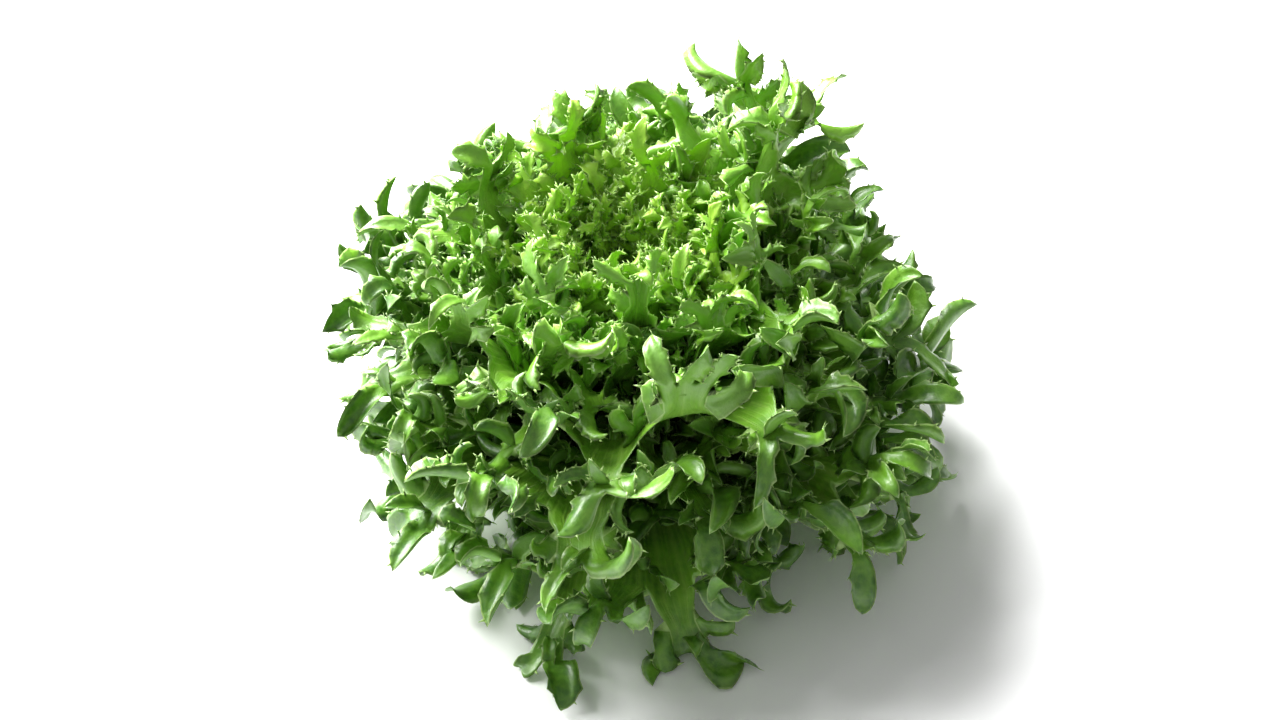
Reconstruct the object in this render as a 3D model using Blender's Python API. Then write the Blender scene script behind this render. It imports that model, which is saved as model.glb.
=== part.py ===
"""A head of frilly lettuce that stands on the cut face of its stem.

The leaves sit round a short stem in a spiral. Each one is a fleshy blade that fans out from its
rib, and its rim is cut into lobes that bend in and out by turns and end in cupped, pointed tips.
Every leaf keeps to a room of its own between its neighbours, so no two of them touch.

A point of a leaf is first given along the leaf, across it and off its face, in metres. head_points
then lays these points on the head, where each openness from 0 (heart) to 1 (outermost leaf) has a
meridian of its own and no two meridians cross.
"""

import math
import random

import bpy
import numpy as np
from mathutils import Quaternion, Vector

# The spiral of leaves, and how far a leaf reaches to either side round the stem
LEAF_COUNT = 32
GOLDEN_ANGLE = math.radians(137.508)
FIRST_AZIMUTH = math.radians(-38)
FIRST_OPENNESS = 0.07
LEAF_SPREAD = math.radians(41)
LAYER_CLEARANCE = 0.0009
SEED = 411

# The head leans to its left, stands higher at the back and parts at the front right
HEAD_LEAN = 0.10
HEAD_RISE = 1.1
BACK_RISE = 0.09
BACK_REACH = 0.080
PARTING = math.radians(305)
PARTING_WIDTH = math.radians(36)
PARTING_TURN = math.radians(14)
HEAD_CENTRE = (0.00231, 0.00372)

# Meridians: the lean from upright at the stem and at the reference length, for the heart and outside
REFERENCE_LENGTH = 0.140
LEAN_AT_STEM = (math.radians(10), math.radians(64))
LEAN_AT_TIP = (math.radians(-6), math.radians(120))
LEAN_POWER = 1.2
FLOOR_SOFTNESS = 0.013
FLOOR_CLEARANCE = 0.0012

# The stem
STEM_RADIUS = 0.0150
STEM_TOP_RADIUS = 0.0028
STEM_HEIGHT = 0.044
STEM_FOOT = 0.006
STEM_SIDES = 20
STEM_GAP = 0.0027
BUD_HEIGHT = 0.026
BUD_RADIUS = 0.0042

# The blade and the stalks of its lobes, by openness
OPENNESS_KNOTS = (0.0, 0.15, 0.30, 0.50, 0.70, 0.85, 1.0)
BLADE_LENGTHS = (0.042, 0.055, 0.067, 0.073, 0.075, 0.077, 0.078)
STALK_LENGTHS = (0.0125, 0.0135, 0.0150, 0.0170, 0.0195, 0.0215, 0.0225)
FRILL_SIZES = (0.55, 0.72, 0.90, 1.0, 1.05, 1.10, 1.12)
FAN_CENTRE = 0.53
FAN_HALF_ANGLE = math.radians(108)
FAN_SQUARENESS = 0.78
BLADE_WIDTH_SHARE = 0.78
RIB_HALF_WIDTH = 0.012
RUFFLE = 0.008

# Leaves that are longer, narrower or turned, by number from the heart; 12 is the tall one at the back
OWN_LENGTHS = {
    11: 1.1, 12: 1.6, 13: 1.1, 14: 1.1, 15: 1.2, 16: 1.25, 17: 1.1, 18: 1.05, 19: 1.45, 20: 1.2,
    21: 1.1, 22: 1.2, 24: 1.3, 25: 1.05, 26: 1.1, 27: 1.3, 28: 1.2, 30: 1.15, 31: 1.1, 32: 1.1,
}
OWN_WIDTHS = {12: 0.42, 27: 0.55, 29: 0.7, 32: 0.72}
OWN_TURNS = {12: math.radians(-10), 27: math.radians(9.5), 29: math.radians(7), 32: math.radians(-3)}

# Half the thickness of the rib at the stem, of the blade, and of the lobes
RIB_HALF = 0.0017
BLADE_HALF = 0.00050
LOBE_HALF = 0.00036

# The tips of the lobes, at frill size 1
TIP_LENGTH = 0.0215
TIP_HALF_WIDTH = 0.0066
RIBBON_STEPS = 12

# Which shape each lobe of a leaf takes, in order round its rim, so that they pass clear of each other
LOBE_SHAPES = {
    1: "93019", 2: "25010", 3: "50324", 4: "8010016", 5: "4510021", 6: "1910082", 7: "8824235",
    8: "3020063", 9: "3510116", 10: "6623924", 11: "554002006", 12: "862302700", 13: "872103204",
    14: "640000001", 15: "201532620", 16: "79009112272", 17: "04000027037", 18: "53633738186",
    19: "44000300045", 20: "98457481031", 21: "35412920557", 22: "13411884678", 23: "60131152105",
    24: "37668700024", 25: "06978591006", 26: "35024892094", 27: "17617120044", 28: "80040020065",
    29: "19143465349", 30: "70245460500", 31: "48000526240", 32: "13780910615",
}


def by_openness(values, openness):
    return float(np.interp(openness, OPENNESS_KNOTS, values))


def smooth_step(low, high, value):
    share = np.clip((value - low) / (high - low), 0, 1)
    return share * share * (3 - 2 * share)


def meridian_point(along, openness):
    """Distance from the axis and height of the point that far along the meridian, before the floor."""
    inside = np.maximum(openness, 0)
    open_share = inside**LEAN_POWER
    lean = LEAN_AT_STEM[0] + (LEAN_AT_STEM[1] - LEAN_AT_STEM[0]) * open_share
    tip_lean = LEAN_AT_TIP[0] + (LEAN_AT_TIP[1] - LEAN_AT_TIP[0]) * open_share
    half_bend = (tip_lean - lean) / REFERENCE_LENGTH * along / 2
    chord = along * np.sinc(half_bend / math.pi)
    foot = STEM_TOP_RADIUS + (STEM_RADIUS - STEM_TOP_RADIUS) * np.sqrt(inside) + STEM_GAP
    rise = STEM_HEIGHT + (STEM_FOOT - STEM_HEIGHT) * openness
    return foot + chord * np.sin(lean + half_bend), rise + chord * np.cos(lean + half_bend)


def layer_gap(along, openness):
    """Metres off the face for each unit of openness, measured square to the meridian."""
    step = 1e-3
    r0, z0 = meridian_point(along, openness - step)
    r1, z1 = meridian_point(along, openness + step)
    r2, z2 = meridian_point(along + 1e-5, openness)
    r3, z3 = meridian_point(along - 1e-5, openness)
    tangent = np.stack([r2 - r3, z2 - z3])
    tangent = tangent / np.linalg.norm(tangent, axis=0)
    return ((r1 - r0) * tangent[1] - (z1 - z0) * tangent[0]) / (2 * step)


def above_floor(height):
    """Presses what would sink through the table flat on top of it, and leaves the rest nearly alone."""
    low = FLOOR_SOFTNESS * np.exp(np.minimum(height, FLOOR_SOFTNESS) / FLOOR_SOFTNESS - 1)
    return np.where(height > FLOOR_SOFTNESS, height, low) + FLOOR_CLEARANCE


def leaned(x, y, height):
    """Leans the head to one side, raises its back over its front and centres it on the origin."""
    risen = height * (HEAD_RISE + BACK_RISE * np.tanh(y / BACK_REACH))
    return x - HEAD_LEAN * height - HEAD_CENTRE[0], y - HEAD_CENTRE[1], risen


def head_points(points, azimuth, openness, spread):
    """Lays a leaf's own points (along, across, off the face) on the head, each leaf in its own room."""
    along, across, off = np.asarray(points, float).T
    layer = (1 - FIRST_OPENNESS) / (LEAF_COUNT - 1)
    radius, _ = meridian_point(along, np.full_like(along, openness))
    turn = across / radius / spread
    spare = np.maximum(np.abs(turn) - 0.6, 0)
    turn = np.sign(turn) * (np.minimum(np.abs(turn), 0.6) + 0.4 * np.tanh(spare / 0.4))
    turn = turn * spread
    to_side = smooth_step(math.radians(5), math.radians(14), np.abs(turn))
    gap = layer_gap(along, np.full_like(along, openness))
    room = np.maximum((2.5 - 0.5 * to_side) * layer * 0.92 - LAYER_CLEARANCE / gap, 0.4 * layer)
    lift = off / gap / room
    own = openness - 0.5 * layer * to_side * np.sign(turn) + room * lift / np.hypot(1, lift)
    radius, height = meridian_point(along, own)
    angle = azimuth + turn
    from_parting = (angle - PARTING + math.pi) % (2 * math.pi) - math.pi
    angle = angle + PARTING_TURN * np.exp(-((from_parting / PARTING_WIDTH) ** 2))
    x, y, height = leaned(radius * np.cos(angle), radius * np.sin(angle), height)
    return np.stack([x, y, above_floor(height)], axis=1)


class Sheet:
    """A leaf as one sheet of triangles, with half its thickness at every point and 0 at its rim."""

    def __init__(self):
        self.points = []
        self.halves = []
        self.faces = []

    def add(self, point, half=0.0):
        self.points.append(Vector(point))
        self.halves.append(half)
        return len(self.points) - 1

    def zip_rows(self, first, second):
        """Triangles between two rows of points that run the same way and may differ in number.

        Two points of the rim are never joined across the sheet, as the leaf has no thickness there.
        """
        i = j = 0
        last_i, last_j = len(first) - 1, len(second) - 1
        while i < last_i or j < last_j:
            ends = i + j + 1 == last_i + last_j
            step_first = j == last_j or (i < last_i and (i + 1) / last_i < (j + 1) / last_j)
            if not ends and i < last_i and j < last_j:
                ahead = self.halves[first[i + 1]] + self.halves[second[j]] > 0
                behind = self.halves[first[i]] + self.halves[second[j + 1]] > 0
                step_first = (step_first and ahead) or not behind
            if step_first:
                self.faces.append((first[i], first[i + 1], second[j]))
                i += 1
            else:
                self.faces.append((first[i], second[j + 1], second[j]))
                j += 1


def ribbon(start, forward, across, length, curl, sweep):
    """Frames (middle, forward, across, face) along a strip that curls off its face and sweeps in it."""
    middle, forward = Vector(start), Vector(forward).normalized()
    across = (Vector(across) - forward * forward.dot(across)).normalized()
    face = forward.cross(across)
    frames = [(middle.copy(), forward.copy(), across.copy(), face.copy())]
    for i in range(RIBBON_STEPS):
        share = (i + 0.5) / RIBBON_STEPS * 2
        turn = Quaternion(across, -curl * share / RIBBON_STEPS) @ Quaternion(face, sweep / RIBBON_STEPS)
        forward, across, face = turn @ forward, turn @ across, turn @ face
        middle = middle + forward * (length / RIBBON_STEPS)
        frames.append((middle.copy(), forward.copy(), across.copy(), face.copy()))
    return frames


def across_ribbon(frame, y, cup):
    """A point y metres across a strip at this frame, with its sides raised by cup times their distance."""
    middle, _, across, face = frame
    return middle + across * y + face * (cup * abs(y))


def add_tip(sheet, draw, left, right, base, size, forward, across, side):
    """A cupped, pointed tip like the bowl of a spoon, grown from the edge left-base-right."""
    length = TIP_LENGTH * size * draw.uniform(0.75, 1.2)
    half_width = TIP_HALF_WIDTH * size * draw.uniform(0.85, 1.2)
    curl = side * (draw.uniform(0.2, 0.9) if draw.random() < 0.35 else -draw.uniform(0.3, 1.7))
    sweep = draw.uniform(-0.5, 0.5)
    cup = -math.copysign(draw.uniform(0.15, 0.5), curl)
    frames = ribbon(sheet.points[base], forward, across, length, curl, sweep)
    heart = sheet.add(frames[7][0], LOBE_HALF)
    point = sheet.add(frames[-1][0])
    left_low, left_high, right_low, right_high = (
        sheet.add(across_ribbon(frames[i], way * half_width * share, cup))
        for way in (-1, 1)
        for i, share in ((4, 0.9), (8, 0.95))
    )
    sheet.faces += [
        (left, base, left_low),
        (base, heart, left_low),
        (left_low, heart, left_high),
        (left_high, heart, point),
        (right, right_low, base),
        (base, right_low, heart),
        (right_low, right_high, heart),
        (right_high, point, heart),
    ]


def add_lobe(sheet, draw, left, base, right, size, stalk, outward, side, tips):
    """A lobe of the rim: a short stalk on the edge left-base-right that parts into cupped tips."""
    ends = [sheet.points[i] for i in (left, base, right)]
    across = (ends[2] - ends[0]).normalized()
    bend = side * draw.uniform(0.45, 0.9)
    forward = outward * math.cos(bend) + Vector((0, 0, math.sin(bend)))
    length = stalk * draw.uniform(0.8, 1.1)
    frames = ribbon(ends[1], forward, across, length, side * draw.uniform(-0.4, 0.3), draw.uniform(-0.3, 0.3))
    end = frames[-1]
    half_width = (ends[2] - ends[0]).length * draw.uniform(0.42, 0.5)
    row = []
    for i in range(2 * tips + 1):
        y = half_width * (i / tips - 1)
        dip = 0 if i % 2 == 0 else 0.0008 * (-1) ** (i // 2)
        row.append(sheet.add(end[0] + end[2] * y + end[3] * dip, LOBE_HALF if i % 2 else 0))
    sheet.zip_rows([left, base, right], row)
    for i in range(tips):
        way = 2 * i / (tips - 1) - 1
        fan = Quaternion(end[3], way * draw.uniform(0.45, 0.85) + draw.uniform(-0.1, 0.1))
        lift = Quaternion(end[2], -side * (-1) ** i * draw.uniform(0.1, 0.7))
        turn = lift @ fan
        add_tip(
            sheet, draw, row[2 * i], row[2 * i + 2], row[2 * i + 1], size, turn @ end[1], turn @ end[2], side
        )


def leaf_sheet(number, openness, own_length, own_width):
    """A whole leaf in its own measures: rib, fanned blade with a waved edge, and the lobes on its rim."""
    sheet = Sheet()
    draw = random.Random(SEED + number)
    size = by_openness(FRILL_SIZES, openness) * draw.uniform(0.94, 1.06)
    length = by_openness(BLADE_LENGTHS, openness) * draw.uniform(0.93, 1.07) * own_length
    stalk = by_openness(STALK_LENGTHS, openness) * size
    lobes = 5 if openness < 0.16 else 7 if openness < 0.34 else 9 if openness < 0.5 else 11
    radius = float(meridian_point(np.float64(length), np.float64(openness))[0])
    half_width = BLADE_WIDTH_SHARE * LEAF_SPREAD * radius * own_width
    centre = FAN_CENTRE * length

    def blade_point(up, b):
        angle = b * FAN_HALF_ANGLE
        spread = up**1.05
        forward, sideways = math.cos(angle), math.sin(angle)
        rim_along = centre + (length - centre) * math.copysign(abs(forward) ** FAN_SQUARENESS, forward)
        rim_across = half_width * math.copysign(abs(sideways) ** FAN_SQUARENESS, sideways)
        wave = RUFFLE * size * up**3 * math.sin(math.pi * lobes * (b + 1) / 2)
        rib = RIB_HALF_WIDTH * (0.45 + 0.55 * openness) * b
        return rim_along * up, rib * (1 - spread) + rim_across * spread, wave

    rows = []
    for up, count in ((0.0, 3), (0.36, 5), (0.72, 9), (1.0, 2 * lobes + 1)):
        row = []
        for j in range(count):
            b = -1 + 2 * j / (count - 1)
            inside = j % 2 == 1 if up == 1 else 0 < j < count - 1
            half = (RIB_HALF * (1 - up) ** 1.5 * (1 - abs(b)) + BLADE_HALF) if inside else 0.0
            row.append(sheet.add(blade_point(up, b), half))
        rows.append(row)
    for lower, upper in zip(rows, rows[1:]):
        sheet.zip_rows(lower, upper)
    rim = rows[-1]
    for i in range(lobes):
        b = -1 + (2 * i + 1) / lobes
        angle = b * FAN_HALF_ANGLE
        outward = Vector((math.cos(angle) + 0.45, math.sin(angle), 0)).normalized()
        side = 1 if i % 2 == 0 else -1
        draw = random.Random(f"{SEED} {number} {i} {LOBE_SHAPES[number + 1][i]}")
        add_lobe(sheet, draw, *rim[2 * i : 2 * i + 3], size, stalk, outward, side, 3 if i % 4 == 1 else 2)
    return sheet


def facing_normals(points, faces):
    """A direction at each point that faces every triangle round it as squarely as one direction can."""
    corners = points[faces]
    face_normals = np.cross(corners[:, 1] - corners[:, 0], corners[:, 2] - corners[:, 0])
    face_normals /= np.linalg.norm(face_normals, axis=1)[:, None]
    around = [[] for _ in points]
    for face, normal in zip(faces, face_normals):
        for v in face:
            around[v].append(normal)
    normals = np.empty_like(points)
    for v, its_normals in enumerate(around):
        its_normals = np.array(its_normals)
        normal = its_normals.mean(axis=0)
        for step in range(2, 60):
            farthest = its_normals[np.argmin(its_normals @ normal)]
            normal = normal + (farthest - normal) / step
        normals[v] = normal / np.linalg.norm(normal)
    return normals


def thickened(points, halves, faces):
    """Turns a sheet into a closed solid, thick inside and sharp at its rim. Gives points and faces."""
    points, halves, faces = np.asarray(points), np.asarray(halves), np.asarray(faces)
    normals = facing_normals(points, faces)
    count = len(points)
    twin = np.where(halves > 0, np.cumsum(halves > 0) - 1 + count, np.arange(count))
    thick = halves > 0
    upper = points + normals * halves[:, None]
    lower = (points - normals * halves[:, None])[thick]
    solid = [tuple(face) for face in faces] + [tuple(twin[face[::-1]]) for face in faces]
    edges = {(a, b) for face in faces for a, b in zip(face, np.roll(face, -1))}
    for a, b in sorted((a, b) for a, b in edges if (b, a) not in edges):
        wall = [b, a, twin[a], twin[b]]
        wall = [v for i, v in enumerate(wall) if v not in wall[:i]]
        solid += [tuple(wall[:3])] if len(wall) == 3 else []
        solid += [tuple(wall[:3]), (wall[0], wall[2], wall[3])] if len(wall) == 4 else []
    return np.concatenate([upper, lower]), [tuple(int(v) for v in face) for face in solid]


def material(name, colour, roughness):
    """A matt or satin plant surface in one colour."""
    made = bpy.data.materials.new(name)
    made.use_nodes = True
    shader = made.node_tree.nodes["Principled BSDF"]
    shader.inputs["Base Color"].default_value = (*colour, 1)
    shader.inputs["Roughness"].default_value = roughness
    shader.inputs["Metallic"].default_value = 0
    return made


def mesh_object(name, points, faces, surface):
    mesh = bpy.data.meshes.new(name)
    mesh.from_pydata([tuple(p) for p in points], [], faces)
    mesh.materials.append(surface)
    made = bpy.data.objects.new(name, mesh)
    bpy.context.scene.collection.objects.link(made)
    return made


def make_leaf(number, surface):
    """The leaf with this number, counted from the heart outwards."""
    openness = FIRST_OPENNESS + (1 - FIRST_OPENNESS) * number / (LEAF_COUNT - 1)
    azimuth = FIRST_AZIMUTH + GOLDEN_ANGLE * number + OWN_TURNS.get(number + 1, 0)
    own_width = OWN_WIDTHS.get(number + 1, 1)
    sheet = leaf_sheet(number, openness, OWN_LENGTHS.get(number + 1, 1), own_width)
    spread = LEAF_SPREAD * (0.6 + 0.4 * own_width)
    laid = head_points([tuple(p) for p in sheet.points], azimuth, openness, spread)
    points, faces = thickened(laid, sheet.halves, [face[::-1] for face in sheet.faces])
    return mesh_object(f"leaf_{number + 1:02d}", points, faces, surface)


def make_stem(surface):
    """The short stem with a flat cut foot, ringed by leaf scars and closed by the bud of the heart."""
    rows = 7
    profile = [(STEM_RADIUS * 0.90, 0.0)]
    for i in range(rows):
        openness = 1 - i / (rows - 1)
        _, height = meridian_point(np.float64(0), np.float64(openness))
        radius = STEM_TOP_RADIUS + (STEM_RADIUS - STEM_TOP_RADIUS) * math.sqrt(openness)
        profile.append((radius * (0.93 if i % 2 else 0.97), float(height)))
    for share in (0.15, 0.45, 0.8):
        radius = BUD_RADIUS * math.sin(math.pi * (0.25 + 0.7 * share))
        profile.append((radius, STEM_HEIGHT + BUD_HEIGHT * share))
    points, faces = [], []
    for radius, height in profile:
        for j in range(STEM_SIDES):
            angle = 2 * math.pi * j / STEM_SIDES
            points.append(leaned(radius * math.cos(angle), radius * math.sin(angle), height))
    points.append(leaned(0.0, 0.0, STEM_HEIGHT + BUD_HEIGHT))
    for i in range(len(profile) - 1):
        for j in range(STEM_SIDES):
            a, b = i * STEM_SIDES + j, i * STEM_SIDES + (j + 1) % STEM_SIDES
            faces.append((a, b, b + STEM_SIDES, a + STEM_SIDES))
    last = (len(profile) - 1) * STEM_SIDES
    faces += [(last + j, last + (j + 1) % STEM_SIDES, len(points) - 1) for j in range(STEM_SIDES)]
    faces.append(tuple(range(STEM_SIDES))[::-1])
    return mesh_object("stem", points, faces, surface)


def main():
    for old in list(bpy.data.objects):
        bpy.data.objects.remove(old)
    heart = material("heart_leaf", (0.27, 0.48, 0.08), 0.45)
    outer = material("outer_leaf", (0.09, 0.24, 0.03), 0.42)
    flesh = material("stem_flesh", (0.66, 0.70, 0.48), 0.55)
    make_stem(flesh)
    for number in range(LEAF_COUNT):
        make_leaf(number, heart if number < LEAF_COUNT // 3 else outer)


main()
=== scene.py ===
import math
import random

import bpy
import numpy as np
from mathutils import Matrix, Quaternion, Vector


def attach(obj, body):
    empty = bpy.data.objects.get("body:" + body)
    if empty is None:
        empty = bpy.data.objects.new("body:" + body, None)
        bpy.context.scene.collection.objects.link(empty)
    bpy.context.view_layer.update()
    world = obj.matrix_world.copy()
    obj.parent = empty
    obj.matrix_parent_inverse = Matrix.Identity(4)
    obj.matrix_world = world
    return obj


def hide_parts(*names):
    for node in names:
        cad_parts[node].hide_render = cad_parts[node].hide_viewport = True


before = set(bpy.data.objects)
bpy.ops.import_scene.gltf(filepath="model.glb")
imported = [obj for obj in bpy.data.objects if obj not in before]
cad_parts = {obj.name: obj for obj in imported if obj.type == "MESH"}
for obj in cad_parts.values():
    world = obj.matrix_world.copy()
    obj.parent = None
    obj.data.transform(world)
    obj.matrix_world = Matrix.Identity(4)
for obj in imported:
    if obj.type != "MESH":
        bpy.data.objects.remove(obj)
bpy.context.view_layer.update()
print("frame loaded")

# The head: how its leaves are laid round the stem, in metres and degrees
headForm = {
    "leafCount": 32,
    "seed": 411,
    "fineSeed": 9000,
    "firstAzimuth": -38.0,
    "turnPerLeaf": 137.508,
    "firstOpenness": 0.07,
    "leafSpread": 41.0,
    "layerClearance": 0.0009,
    "sideBand": (5.0, 14.0),
    "lean": 0.10,
    "rise": 1.1,
    "backRise": 0.09,
    "backReach": 0.080,
    "partingAzimuth": 305.0,
    "partingWidth": 36.0,
    "partingTurn": 14.0,
    "centre": (0.00231, 0.00372),
    "referenceLength": 0.140,
    "leanAtStem": (10.0, 64.0),
    "leanAtTip": (-6.0, 120.0),
    "leanPower": 1.2,
    "floorSoftness": 0.013,
    "floorClearance": 0.0012,
}

# The stem under the leaves
stemForm = {
    "radius": 0.0150,
    "topRadius": 0.0028,
    "height": 0.044,
    "foot": 0.006,
    "leafGap": 0.0027,
    "budHeight": 0.026,
    "budRadius": 0.0042,
    "rows": 64,
    "sides": 120,
    "scarDepth": 0.0007,
    "scarSpacing": 0.0052,
    "grooveDepth": 0.0002,
}

# The leaves. A row of seven values goes from the heart (openness 0) to the outermost leaf (1)
leafForm = {
    "opennessKnots": (0.0, 0.15, 0.30, 0.50, 0.70, 0.85, 1.0),
    "bladeLengths": (0.042, 0.055, 0.067, 0.073, 0.075, 0.077, 0.078),
    "stalkLengths": (0.0125, 0.0135, 0.0150, 0.0170, 0.0195, 0.0215, 0.0225),
    "frillSizes": (0.55, 0.72, 0.90, 1.0, 1.05, 1.10, 1.12),
    # The blade
    "fanCentre": 0.53,
    "fanHalfAngle": 108.0,
    "fanSquareness": 0.78,
    "bladeWidthShare": 0.78,
    "ribHalfWidth": 0.012,
    "ribHalf": 0.0017,
    "bladeHalf": 0.00032,
    "veinHalf": 0.00018,
    "ruffle": 0.008,
    "swells": (0.0050, 0.0030, 0.0011),
    "bladeRows": (
        0.0, 0.05, 0.12, 0.20, 0.29, 0.38, 0.47, 0.55, 0.63, 0.70, 0.77, 0.83, 0.88, 0.925, 0.965, 1.0,
    ),
    "fineFrom": 0.6,
    "coarseColumns": 6,
    "columnsPerLobe": 12,
    # Leaves that are longer, narrower, turned or more frilled, by number from the heart
    "ownLengths": {
        11: 1.1, 12: 1.6, 13: 1.1, 14: 1.1, 15: 1.2, 16: 1.25, 17: 1.1, 18: 1.05, 19: 1.45, 20: 1.2,
        21: 1.1, 22: 1.2, 24: 1.3, 25: 1.05, 26: 1.1, 27: 1.3, 28: 1.2, 30: 1.15, 31: 1.1, 32: 1.1,
    },
    "ownWidths": {12: 0.42, 27: 0.55, 29: 0.7, 32: 0.72},
    "ownTurns": {12: -10.0, 27: 9.5, 29: 7.0, 32: -3.0},
    "ownFrills": {12: 1.25},
    # Which of ten shapes each lobe takes, in order round the rim. They were found by trying them
    # against the other lobes of the leaf and against the outline of the head
    "lobeShapes": {
        1: "93019", 2: "25010", 3: "50324", 4: "8010016", 5: "4510021", 6: "1910082", 7: "8824235",
        8: "3020063", 9: "3510116", 10: "6623924", 11: "554002006", 12: "862302700", 13: "872103204",
        14: "640000001", 15: "201532620", 16: "79009112272", 17: "04000027037", 18: "53633738186",
        19: "44000300045", 20: "98457481031", 21: "35412920557", 22: "13411884678", 23: "60131152105",
        24: "37668700024", 25: "06978591006", 26: "35024892094", 27: "17617120044", 28: "80040020065",
        29: "19143465349", 30: "70245460500", 31: "48000526240", 32: "13780910615",
    },
    # The lobes: how many up to which openness, and their form
    "lobeCounts": ((0.16, 5), (0.34, 7), (0.5, 9), (2.0, 11)),
    "lobeHalf": 0.00022,
    "lobeBend": (0.45, 0.9),
    "lobeFreedom": (0.35, 0.80),
    "stalkRows": 6,
    "stalkFold": 0.0021,
    "waist": (0.28, 0.50),
    "heartTone": 4.2,
    # Every lobe's tone is lowered by this and raised again towards the heart: the outer leaves' darkness is
    # partly their own deeper green and partly painted shade for the shade that falls on the low outer leaves
    # under the head
    "outerDarkAndPaintedShade": 1.8,
    # The tips at the ends and along the sides of the lobes
    "tipLength": 0.0215,
    "tipLengths": (0.75, 1.2),
    "tipHalfWidth": 0.0066,
    "tipWidths": (0.85, 1.2),
    "tipWidest": (0.30, 0.52),
    "tipBlunt": (0.45, 0.90),
    "tipSlimness": 0.72,
    "tipRows": 9,
    "tipFreedom": 0.95,
    "tipTwist": 1.1,
    "tipCurl": 1.4,
    "curls": (0.3, 1.7),
    "backCurls": (0.2, 0.9),
    "backCurlShare": 0.35,
    "tipSweep": 1.8,
    "cups": (0.15, 0.5),
    "cupShare": 1.9,
    "rolls": (0.05, 0.6),
    "heartFineness": 0.32,
    "sideTipRows": 8,
    "sideTipSize": 0.70,
    "faceTipColumns": 4,
    "faceTipSize": 0.64,
    "faceTipReach": 0.38,
    # The small frills that stand on the blade
    "frillColumns": 8,
    "frillStalkRows": 3,
    "frillTipRows": 7,
    "frillDepth": 0.0008,
    "innerFrillSize": 0.78,
    "innerFrillBends": (0.55, 1.35),
    "frillPlaces": (0.80, 0.94),
    "frillLayerStep": 0.24,
    "frillReach": 0.40,
    # The teeth: how many rim points have one, from the heart outwards, and their lengths
    "toothyKnots": (0, 0.35, 0.65, 1),
    "toothyShares": (0.85, 0.75, 0.45, 0.30),
    "toothLength": (0.0030, 0.0015),
}


def byOpenness(values, openness):
    return float(np.interp(openness, leafForm["opennessKnots"], values))


def smoothStep(low, high, value):
    share = np.clip((value - low) / (high - low), 0, 1)
    return share * share * (3 - 2 * share)


# A leaf's middle line leans out more, the further the leaf is from the heart
def meridianPoint(along, openness):
    inside = np.maximum(openness, 0)
    openShare = inside ** headForm["leanPower"]
    stemLean, tipLean = np.radians(headForm["leanAtStem"]), np.radians(headForm["leanAtTip"])
    lean = stemLean[0] + (stemLean[1] - stemLean[0]) * openShare
    endLean = tipLean[0] + (tipLean[1] - tipLean[0]) * openShare
    halfBend = (endLean - lean) / headForm["referenceLength"] * along / 2
    chord = along * np.sinc(halfBend / math.pi)
    foot = stemForm["topRadius"] + (stemForm["radius"] - stemForm["topRadius"]) * np.sqrt(inside)
    rise = stemForm["height"] + (stemForm["foot"] - stemForm["height"]) * openness
    radius = foot + stemForm["leafGap"] + chord * np.sin(lean + halfBend)
    return radius, rise + chord * np.cos(lean + halfBend)


# How far apart two leaves lie, for each step of openness between them
def layerGap(along, openness):
    r0, z0 = meridianPoint(along, openness - 1e-3)
    r1, z1 = meridianPoint(along, openness + 1e-3)
    r2, z2 = meridianPoint(along + 1e-5, openness)
    r3, z3 = meridianPoint(along - 1e-5, openness)
    tangent = np.stack([r2 - r3, z2 - z3])
    tangent = tangent / np.linalg.norm(tangent, axis=0)
    return ((r1 - r0) * tangent[1] - (z1 - z0) * tangent[0]) / 2e-3


def aboveFloor(height):
    soft = headForm["floorSoftness"]
    low = soft * np.exp(np.minimum(height, soft) / soft - 1)
    return np.where(height > soft, height, low) + headForm["floorClearance"]


def leaned(x, y, height):
    risen = height * (headForm["rise"] + headForm["backRise"] * np.tanh(y / headForm["backReach"]))
    return x - headForm["lean"] * height - headForm["centre"][0], y - headForm["centre"][1], risen


# Lays points of a flat leaf on the head. Each leaf keeps to the room between its neighbours
def headPoints(points, azimuth, openness, spread):
    along, across, off = points.T
    layer = (1 - headForm["firstOpenness"]) / (headForm["leafCount"] - 1)
    level = np.full_like(along, openness)
    radius, _ = meridianPoint(along, level)
    turn = across / radius / spread
    spare = np.maximum(np.abs(turn) - 0.6, 0)
    turn = np.sign(turn) * (np.minimum(np.abs(turn), 0.6) + 0.4 * np.tanh(spare / 0.4)) * spread
    toSide = smoothStep(*np.radians(headForm["sideBand"]), np.abs(turn))
    gap = layerGap(along, level)
    room = np.maximum((2.5 - 0.5 * toSide) * layer * 0.92 - headForm["layerClearance"] / gap, 0.4 * layer)
    lift = off / gap / room
    own = openness - 0.5 * layer * toSide * np.sign(turn) + room * lift / np.hypot(1, lift)
    radius, height = meridianPoint(along, own)
    angle = azimuth + turn
    fromParting = (angle - math.radians(headForm["partingAzimuth"]) + math.pi) % (2 * math.pi) - math.pi
    width = math.radians(headForm["partingWidth"])
    angle = angle + math.radians(headForm["partingTurn"]) * np.exp(-((fromParting / width) ** 2))
    x, y, height = leaned(radius * np.cos(angle), radius * np.sin(angle), height)
    return np.stack([x, y, aboveFloor(height)], axis=1)


# The middle, forward, across and face of a strip that curls and sweeps, at steps + 1 places
def ribbon(start, forward, across, length, curl, sweep, steps=12):
    middle, forward = Vector(start), Vector(forward).normalized()
    across = (Vector(across) - forward * forward.dot(across)).normalized()
    face = forward.cross(across)
    frames = [(middle.copy(), forward.copy(), across.copy(), face.copy())]
    for i in range(steps):
        share = (i + 0.5) / steps * 2
        turn = Quaternion(across, -curl * share / steps) @ Quaternion(face, sweep / steps)
        forward, across, face = turn @ forward, turn @ across, turn @ face
        middle = middle + forward * (length / steps)
        frames.append((middle.copy(), forward.copy(), across.copy(), face.copy()))
    return np.array([[list(v) for v in f] for f in frames])


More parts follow.
